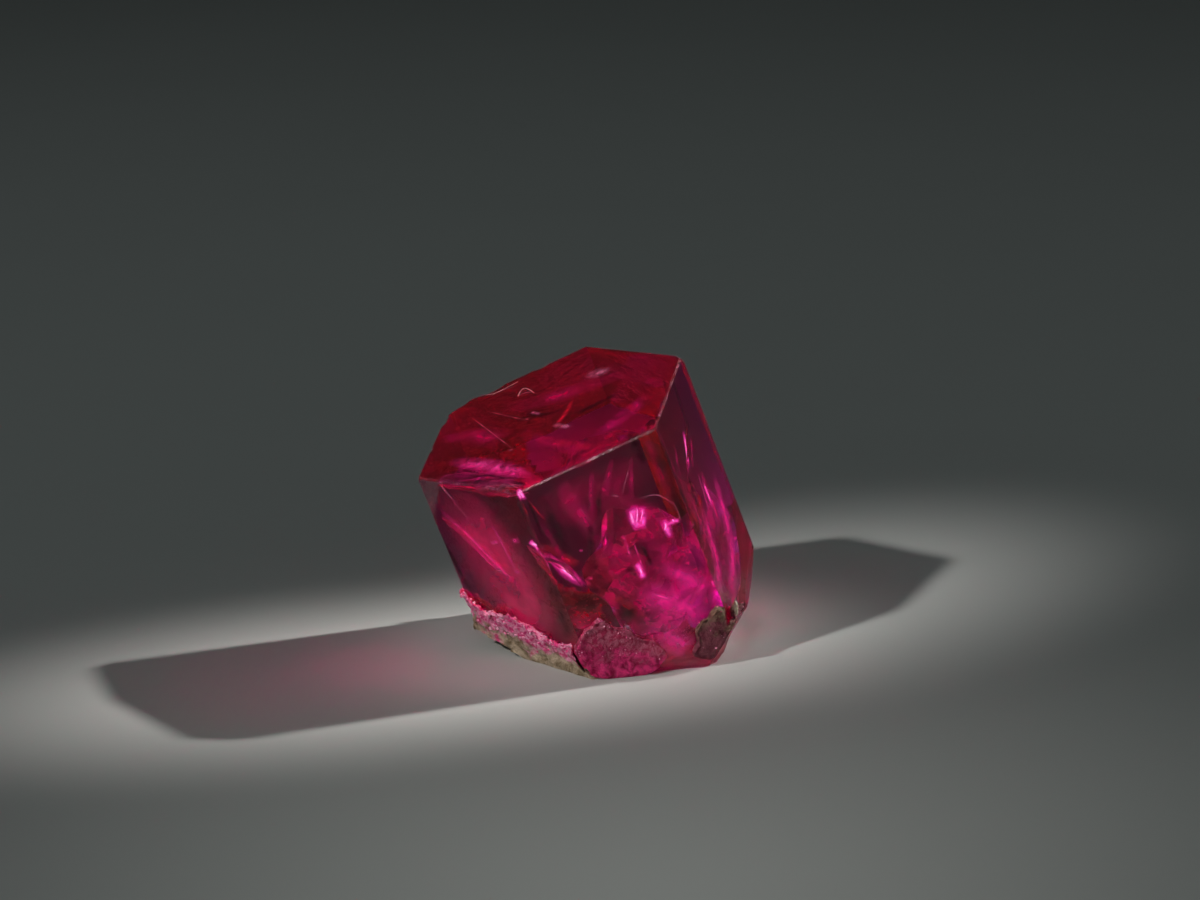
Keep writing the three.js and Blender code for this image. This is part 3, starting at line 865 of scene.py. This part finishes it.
# Sugary grains along the rind's upper rim and over the flake, a cream chip at the right
grainLook = {
    "counts": {"matrix_rind": 1000, "matrix_flake": 60, "matrix_patch": 20},
    # how high on the rock they start, and their radii in mm
    "least": {"matrix_rind": 0.5, "matrix_flake": 0.35, "matrix_patch": 0.2},
    "size": {"matrix_rind": (0.012, 0.045), "matrix_flake": (0.008, 0.02),
             "matrix_patch": (0.008, 0.022)},
    "squash": ((0.6, 1), (0.6, 1.2)),  # the other two radii as shares of the first
    "room": 1.3,                       # radii kept free towards the box
    "facing": (-0.4, -0.8, 0.4),       # they sit on what looks this way
    "facingLeast": 0.1,
    "bright": (1.0, 0.55, 0.72, 1),
    "deep": (0.9, 0.05, 0.28, 1),
    "patches": {"Scale": 9000, "Low": 0.4, "High": 0.6},
    "roughness": (0.5, 0.28),
    "chip": {"pixel": (735, 609), "size": (0.06, 0.06, 0.15), "lift": 0.03,  # mm
             "pale": (0.85, 0.78, 0.6, 1), "dull": (0.45, 0.32, 0.22, 1)},
    "seed": 4,
}


def makeGrainMaterial(name, deep, bright):
    material, tree, shader = newMaterial(name)
    mask = useGroup(tree, blotches, grainLook["patches"])["Mask"]
    feed(tree, shader.inputs["Base Color"], blend(tree, mask, deep, bright))
    feed(tree, shader.inputs["Roughness"], spread(tree, mask, 0, 1, *grainLook["roughness"]))
    return material


def grainSeats(nodeName):
    # places for grains: high on the rock, facing the front, clear of the box's sides
    mesh = rocks[nodeName].data
    rise = mesh.attributes["rise"].data
    room = grainLook["size"][nodeName][1] * grainLook["room"] * mm
    low, high = cadBox
    return [v for v in mesh.vertices if rise[v.index].value > grainLook["least"][nodeName]
            and v.normal.dot(Vector(grainLook["facing"])) > grainLook["facingLeast"]
            and all(low[i] + room < v.co[i] < high[i] - room for i in range(3))]


def makeGrains():
    # one little ball copied to every seat, then all joined
    dice = random.Random(grainLook["seed"])
    bpy.ops.object.select_all(action="DESELECT")
    bpy.ops.mesh.primitive_ico_sphere_add(subdivisions=1, radius=1)
    ball = bpy.context.object
    grains = []
    for nodeName, count in grainLook["counts"].items():
        seats = grainSeats(nodeName)
        for seat in dice.sample(seats, min(count, len(seats))):
            radius = dice.uniform(*grainLook["size"][nodeName]) * mm
            grain = ball.copy()
            grain.location = seat.co
            shares = [1] + [dice.uniform(*limits) for limits in grainLook["squash"]]
            grain.scale = [radius * share for share in shares]
            grain.rotation_euler = [dice.uniform(0, math.tau) for _ in range(3)]
            bpy.context.scene.collection.objects.link(grain)
            grains.append(grain)
    bpy.data.objects.remove(ball)
    piece = joinPieces(grains, "rock_grains")
    bpy.ops.object.transform_apply(location=True, rotation=True, scale=True)
    piece.data.materials.append(makeGrainMaterial("sugaryGrain", grainLook["deep"], grainLook["bright"]))
    finishPiece(piece)
    print("grains", len(grains))


def makeChip():
    # a long chip where the pixel first meets the rock or the crystal
    chip = grainLook["chip"]
    eye, ray = cameraPlace(), pixelRay(chip["pixel"])
    hits = []
    for mesh in [crystal.data] + [rock.data for rock in rocks.values()]:
        tree = BVHTree.FromPolygons([v.co for v in mesh.vertices], [p.vertices for p in mesh.polygons])
        place, _, _, distance = tree.ray_cast(eye, ray)
        if place is not None:
            hits.append((distance, place))
    bpy.ops.object.select_all(action="DESELECT")
    spot = min(hits)[1] - chip["lift"] * mm * ray
    bpy.ops.mesh.primitive_ico_sphere_add(subdivisions=2, radius=mm, location=spot)
    piece = bpy.context.object
    piece.name = "rock_chip"
    piece.scale = chip["size"]
    bpy.ops.object.transform_apply(location=True, rotation=True, scale=True)
    piece.data.materials.append(makeGrainMaterial("creamChip", chip["dull"], chip["pale"]))
    finishPiece(piece)


makeGrains()
makeChip()

# Two lint fibres lying on the flat end; places in the frame
fibreLook = {
    "rows": [[(485, 395), (490, 395), (499, 392), (508, 387), (518, 382)],
             [(518, 396), (521, 389), (528, 388), (534, 393)]],
    "radius": 0.006,  # mm
    "lift": 0.008,    # mm clear of the face
    "steps": 5,       # points from one place to the next
    "roundness": 1,
    "pale": (0.62, 0.4, 0.4, 1),
    "dull": (0.45, 0.22, 0.25, 1),
}


def makeFibres():
    data = bpy.data.curves.new("fibres", "CURVE")
    data.dimensions = "3D"
    data.bevel_depth = fibreLook["radius"] * mm
    data.bevel_resolution = fibreLook["roundness"]
    data.resolution_u = fibreLook["steps"]
    data.use_fill_caps = True
    for row in fibreLook["rows"]:
        spline = data.splines.new("NURBS")
        spline.points.add(len(row) - 1)
        for point, pixel in zip(spline.points, row):
            point.co = (*insideAt(pixel, "end", -fibreLook["lift"]), 1)
        spline.order_u = 3
        spline.use_endpoint_u = True
    piece = bpy.data.objects.new("lint_fibres", data)
    bpy.context.scene.collection.objects.link(piece)
    selectOnly(piece)
    bpy.ops.object.convert(target="MESH")
    piece = bpy.context.object
    piece.data.materials.append(makeGrainMaterial("lint", fibreLook["dull"], fibreLook["pale"]))
    finishPiece(piece)
    print("fibres laid")


makeFibres()

# Floor, light and surroundings
studio = {
    "floorRadius": 400,       # mm
    "floorDrop": 0.005,       # mm, so that it never shares a plane with the worn foot
    "floorSides": 96,
    "floorTone": (0.52, 0.53, 0.51, 1),
    "floorPaler": 1.05,       # in faint patches
    "floorPatches": {"Scale": 60, "Low": 0.2, "High": 0.8},
    "floorRoughness": 0.85,
    "floorGloss": 0.2,
    "skyTone": (0.022, 0.025, 0.025, 1),
    "lamps": {
        # place and aim in mm, radius in mm, watts, cone in degrees, tone
        "backKey": ((60, 26, 42), (0, 0, 2.2), 2.5, 0.6, 5.2, (1, 0.98, 0.95)),
        "frontKey": ((-48, -46, 52), (0.5, 0, 2.6), 2.5, 0.3, 6, (1, 0.99, 0.97)),
        "broadFill": ((-20, -10, 110), (0, 10, 0), 20, 0.038, 90, (0.88, 0.99, 1)),
        "floorWash": ((-10, -60, 70), (1, -12, 0), 8, 0.1, 13, (1, 1, 0.97)),
    },
    "bounces": 24,
    "seeThroughs": 32,        # stains and tracks that one ray may cross
    "causticBlur": 0.3,
}


def makeFloor():
    bpy.ops.object.select_all(action="DESELECT")
    bpy.ops.mesh.primitive_circle_add(vertices=studio["floorSides"], radius=studio["floorRadius"] * mm,
                                      fill_type="NGON", location=(0, 0, -studio["floorDrop"] * mm))
    floor = bpy.context.object
    floor.name = "floor"
    material, tree, shader = newMaterial("palePaper")
    shade = useGroup(tree, blotches, studio["floorPatches"])["Mask"]
    paler = tuple(studio["floorPaler"] * c for c in studio["floorTone"][:3]) + (1,)
    feed(tree, shader.inputs["Base Color"], blend(tree, shade, studio["floorTone"], paler))
    shader.inputs["Roughness"].default_value = studio["floorRoughness"]
    shader.inputs["Specular IOR Level"].default_value = studio["floorGloss"]
    floor.data.materials.append(material)


def addLamp(name, place, target, radius, power, cone, tone):
    data = bpy.data.lights.new(name, "SPOT")
    data.shadow_soft_size = radius * mm
    data.energy = power
    data.spot_size = math.radians(cone)
    data.spot_blend = 1
    data.color = tone
    lamp = bpy.data.objects.new(name, data)
    bpy.context.scene.collection.objects.link(lamp)
    lamp.location = Vector(place) * mm
    aim = Vector(target) * mm - lamp.location
    lamp.rotation_mode = "QUATERNION"
    lamp.rotation_quaternion = aim.to_track_quat("-Z", "Y")


def makeStudio():
    makeFloor()
    for name, values in studio["lamps"].items():
        addLamp(name, *values)
    world = bpy.data.worlds.new("surroundings")
    bpy.context.scene.world = world
    world.use_nodes = True
    world.node_tree.nodes["Background"].inputs["Color"].default_value = studio["skyTone"]
    scene = bpy.context.scene
    scene.view_settings.view_transform = "Standard"
    scene.cycles.use_denoising = True
    scene.cycles.caustics_refractive = True
    scene.cycles.caustics_reflective = True
    scene.cycles.max_bounces = studio["bounces"]
    scene.cycles.transmission_bounces = studio["bounces"]
    scene.cycles.transparent_max_bounces = studio["seeThroughs"]
    scene.cycles.blur_glossy = studio["causticBlur"]


makeStudio()
print("studio ready")
